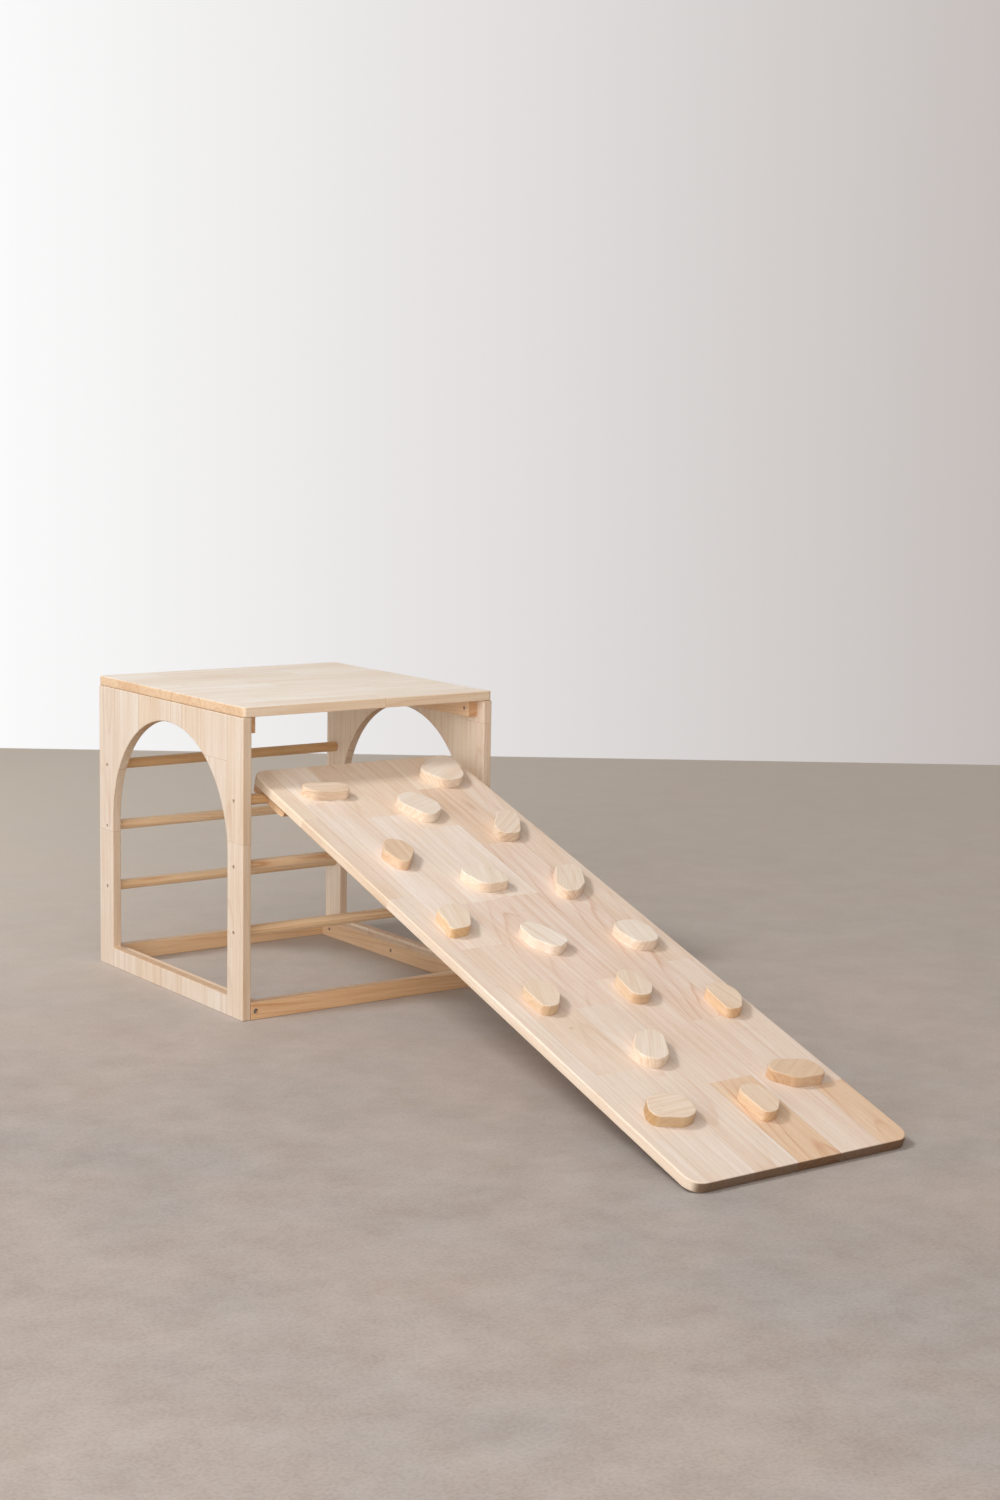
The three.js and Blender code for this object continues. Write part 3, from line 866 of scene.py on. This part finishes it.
# ---------------------------------------------------------------- ramp

# The ramp tilts until the round of its lower edge meets the floor.
foot = RAMP_LENGTH - RAMP_OVERHANG
round_reach, round_rise = foot - RAMP_EASE, SEAT + RAMP_EASE
TILT = math.atan2(round_rise, round_reach) + math.asin(
    (HINGE.z - RAMP_EASE) / math.hypot(round_reach, round_rise)
)
RAMP_TURN = (TILT, 0, 0)


def on_ramp(x, v, w):
    """A point of the ramp, across from its middle, up along it and out of it from the hinge."""
    return HINGE + Matrix.Rotation(TILT, 3, "X") @ Vector((x, v, w))


low = (-RAMP_WIDTH / 2, -foot, SEAT)
high = (RAMP_WIDTH / 2, RAMP_OVERHANG, SEAT + RAMP_THICKNESS)
board = block("ramp_board_wood", low, high)
round_corners(board, RAMP_CORNER_RADIUS, 12)
ease(board, RAMP_EASE, 4)
place(board, HINGE, RAMP_TURN)

# Painted light: the pieces at the ramp's upper end are paler, against the shadow that the top board
# casts there.
PALE, CREAM, BLUSH, WARM = "EFE4DC", "EEE0D6", "EEDED4", "ECDDD0"
FAIR_PAINTED_LIGHT, TAN_PAINTED_LIGHT, HONEY, ORANGE = "F5EADE", "F2E4D7", "EBD8C8", "EBD2BA"
CLEAR, FAIREST_PAINTED_LIGHT = "F4EAE3", "FDF5EC"
# Each stave from the foot up: where a piece starts, its colour and how strongly its rings show
RAMP_STAVES = [
    [[0, PALE, 0.15], [839, WARM, 0.35], [1129, FAIR_PAINTED_LIGHT, 0.3]],
    [[0, PALE, 0.15], [282, WARM, 0.3], [450, CREAM, 0.15], [550, WARM, 0.3], [665, CLEAR, 0.1],
     [1184, FAIREST_PAINTED_LIGHT, 0.3]],
    [[0, PALE, 0.25], [459, BLUSH, 0.45], [800, CLEAR, 0.2], [1114, TAN_PAINTED_LIGHT, 0.25]],
    [[0, ORANGE, 0.7], [217, CREAM, 0.1], [527, BLUSH, 0.4], [804, CLEAR, 0.15], [1060, TAN_PAINTED_LIGHT, 0.25]],
    [[0, CREAM, 0.15], [377, BLUSH, 0.6], [979, HONEY, 0.4], [1199, FAIR_PAINTED_LIGHT, 0.3]],
    [[0, ORANGE, 0.5], [162, CREAM, 0.15], [545, WARM, 0.3], [1270, FAIREST_PAINTED_LIGHT, 0.4]],
]
wood = pine(
    "edge_glued_pine_ramp",
    on_ramp(-RAMP_WIDTH / 2, -foot, SEAT + RAMP_THICKNESS),
    RAMP_TURN,
    SEEDS["ramp"],
    staves=(STAVE_WIDTH, RAMP_LENGTH / MM, 52.5),
    layout=RAMP_STAVES,
    knots=[(352, 1122, 5, 20, 0.4), (75, 412, 4, 5, 0.35)],
    edge_shade="FFFDF6",
    # painted shade: the foot's end grain is darker, partly its own colour and partly the shade of a
    # face that looks down toward the floor
    end_shade="867669",
    end_amount=1,
)
dress(board, "ramp", "ramp_wood", wood, "ramp_board")

for i, (across, along, grain, tone, figure, side_tone_and_shade, corners) in enumerate(HOLDS):
    node = f"hold_{i + 1:02d}"
    outline = rounded([(x * MM, y * MM) for x, y in corners], HOLD_CORNER_RADIUS)
    hold = plate(f"{node}_wood", outline, HOLD_THICKNESS)
    pick(hold, "FACE", lambda normal: normal.z > FLAT)
    bpy.ops.mesh.region_to_loop()
    bpy.ops.mesh.bevel(offset=HOLD_EASE, segments=4, affect="EDGES")
    done()
    x, v = (across - 0.5) * RAMP_WIDTH, along * RAMP_LENGTH - foot
    base = SEAT + RAMP_THICKNESS + FIT_GAP
    place(hold, (x, v, base))
    place(hold, HINGE, RAMP_TURN)
    turn = Matrix.Rotation(TILT, 3, "X") @ Matrix.Rotation(-math.radians(grain), 3, "Z")
    # the sawn sides take their own tone, with painted shade in the darker ones
    wood = pine(
        f"sawn_pine_{node}",
        on_ramp(x, v, base + HOLD_THICKNESS),
        turn.to_euler(),
        SEEDS["hold"] + i,
        HOLD_TONES,
        tone,
        figure=0.55 * figure,
        spacing=8,
        edge_shade=side_tone_and_shade,
        end_shade=side_tone_and_shade,
    )
    dress(hold, "ramp", "hold_wood", wood, node)

hook_top = SEAT - FIT_GAP
tip = (HOOK_TIP_RADIUS - HOOK_DOWN, HOOK_TIP_RADIUS - HOOK_LIP)
heel = (HOOK_UP - HOOK_HEEL_RADIUS, HOOK_HEEL_RADIUS - HOOK_LIP)
hook_outline = (
    [(HOOK_UP, hook_top), (-HOOK_DOWN, hook_top)]
    + arc(tip, HOOK_TIP_RADIUS, HOOK_TIP_RADIUS, 180, 270, 8)
    + [(-NOTCH_RADIUS, -HOOK_LIP)]
    + arc((0, 0), NOTCH_RADIUS, NOTCH_RADIUS, 180, 0, 24)
    + [(NOTCH_RADIUS, -HOOK_LIP)]
    + arc(heel, HOOK_HEEL_RADIUS, HOOK_HEEL_RADIUS, -90, 0, 6)
)
for i, (side, inward) in enumerate(SIDES):
    node = f"ramp_hook_{side}"
    hook = plate(f"{node}_wood", hook_outline, HOOK_THICKNESS)
    ease(hook, HOOK_EASE, 2)
    middle = inward * (HOOK_INSET + HOOK_THICKNESS / 2 - RAMP_WIDTH / 2)
    place(hook, (middle - HOOK_THICKNESS / 2, 0, 0), FACING_X)
    place(hook, HINGE, RAMP_TURN)
    name, seed = f"planed_pine_{node}", SEEDS["hook"] + i
    wood = pine(name, on_ramp(middle, 0, 0), RAMP_TURN, seed, BATTEN_TONES)
    dress(hook, "ramp", "batten_wood", wood, node)

# ---------------------------------------------------------------- stage

CAMERA_PLACE = (-2.4208, -3.42315, 1.1215)
CAMERA_AZIMUTH = math.radians(35.9605)
CAMERA_DROP = math.radians(8.2282)
CAMERA_ROLL = math.radians(1.0333)
SENSOR_WIDTH = 36
FOCAL_LENGTH = 58.885

camera = bpy.data.cameras.new("camera")
camera.sensor_width = SENSOR_WIDTH
camera.lens = FOCAL_LENGTH
camera.clip_end = 60  # metres, past the far edge of the floor
seen_from = bpy.data.objects.new("camera", camera)
bpy.context.scene.collection.objects.link(seen_from)
turned = Euler((math.pi / 2 - CAMERA_DROP, 0, -CAMERA_AZIMUTH)).to_matrix()
turned = turned @ Matrix.Rotation(CAMERA_ROLL, 3, "Z")
seen_from.matrix_world = Matrix.Translation(CAMERA_PLACE) @ turned.to_4x4()
bpy.context.scene.camera = seen_from


def floated_concrete():
    """Concrete floated flat by hand: soft clouds of tone, the marks of the float, fine grit and
    painted window light.
    """
    material, tree = blank("floated_concrete")
    spot = add(tree, "TexCoord").outputs["Object"]
    # clouds of about half a metre
    cloud = {"Vector": spot, "Scale": 1.7, "Detail": 6, "Roughness": 0.62}
    stops = [(0.35, linear("B1ACAA")), (0.65, linear("BDB1AB"))]
    tint = add(tree, "ValToRGB", {0: add(tree, "TexNoise", cloud)}, stops).outputs[0]
    # float marks of about a hand's width
    marks = {"Vector": spot, "Scale": 9, "Detail": 8, "Roughness": 0.72}
    marks = add(tree, "TexNoise", marks)
    amount = add(tree, "MapRange", {0: marks, 1: 0.35, 2: 0.65, 3: 0, 4: 0.9})
    tint = shade(tree, tint, amount, "EBE7E4")
    # grit of 5 mm, coarser than real sand so that it shows from here
    grit = add(tree, "TexNoise", {"Vector": spot, "Scale": 190, "Detail": 2})
    amount = add(tree, "MapRange", {0: grit, 1: 0.4, 2: 0.7, 3: 0, 4: 0.8})
    tint = shade(tree, tint, amount, "F0ECE8")
    # painted light: the floor is paler toward the far left, where the window is, and toward the far
    # right
    for direction, first, last in (((-0.5, 0.87, 0), 0.6, 2.4), ((0.8, 0.6, 0), -0.8, 4.5)):
        along = add(tree, "VectorMath", {0: spot, 1: direction}, operation="DOT_PRODUCT")
        painted_window_light = add(tree, "MapRange", {0: along.outputs["Value"], 1: first, 2: last})
        tint = shade(tree, tint, painted_window_light, "DDD4CA", "MIX")
    bump = add(tree, "Bump", {"Strength": 0.15, "Distance": 1 * MM, "Height": marks})
    links = {"Base Color": tint, "Roughness": 0.7, "Specular IOR Level": 0.2, "Normal": bump}
    add(tree, "OutputMaterial", {"Surface": add(tree, "BsdfPrincipled", links)})
    return material


# The floor ends behind the object in a straight line, past which the pale surroundings show.
FLOOR_FAR = 3.42
FLOOR_SIDE = 16.0
FLOOR_TURN = math.radians(0.4) - CAMERA_AZIMUTH
bpy.ops.mesh.primitive_plane_add(size=1)
floor = named("floor")
floor.scale = (2 * FLOOR_SIDE, FLOOR_FAR + FLOOR_SIDE, 1)
settle(floor)
place(floor, (0, (FLOOR_FAR - FLOOR_SIDE) / 2, 0))
place(floor, (0, 0, 0), (0, 0, FLOOR_TURN))
floor.data.materials.append(floated_concrete())

AIM = Vector((0, 0.1, 0.25))  # near the middle of the object


def lamp(name, at, size, watts, colour):
    """A soft square lamp that faces the object, with its place and size in metres."""
    light = bpy.data.lights.new(name, "AREA")
    light.size = size
    light.energy = watts
    light.color = linear(colour)[:3]
    holder = bpy.data.objects.new(name, light)
    bpy.context.scene.collection.objects.link(holder)
    holder.location = at
    holder.rotation_euler = (AIM - Vector(at)).to_track_quat("-Z", "Y").to_euler()
    holder.visible_camera = False


# A window high on the left, and what pale walls throw back from the left, the side and the front
lamp("window", (-4.6, 0.7, 5.4), 1.0, 226, "FFFEFC")
lamp("left_fill", (-4.2, -2.8, 4.6), 4.0, 69, "FFFBF7")
lamp("side_fill", (-5.4, -1.6, 1.9), 3.0, 80, "FFFBF7")
lamp("front_fill", (-3.1, -5.1, 2.1), 3.0, 100, "FFFAF4")

# The eye and the gloss see a pale wall, brighter toward the window. All else gets even light.
world = bpy.data.worlds.new("surroundings")
bpy.context.scene.world = world
world.use_nodes = True
tree = world.node_tree
tree.nodes.clear()
spot = add(tree, "TexCoord").outputs["Generated"]
toward = add(tree, "VectorMath", {0: spot, 1: (-0.8, 0.6, 0)}, operation="DOT_PRODUCT")
toward = add(tree, "MapRange", {0: toward.outputs["Value"], 1: -0.2, 2: 0.22})
wall = add(tree, "ValToRGB", {0: toward}, [(0, linear("C3BBB8")), (1, linear("FBFBFB"))])
rays = add(tree, "LightPath").outputs
shown = {0: rays["Is Camera Ray"], 1: rays["Is Glossy Ray"]}
shown = add(tree, "Math", shown, operation="MAXIMUM")
around = add(tree, "Background", {"Color": linear("FFF5EA"), "Strength": 0.32})
backdrop = add(tree, "Background", {"Color": wall, "Strength": 1})
both = add(tree, "MixShader", {0: shown, 1: around, 2: backdrop})
add(tree, "OutputWorld", {"Surface": both})

bpy.context.scene.view_settings.view_transform = "Standard"
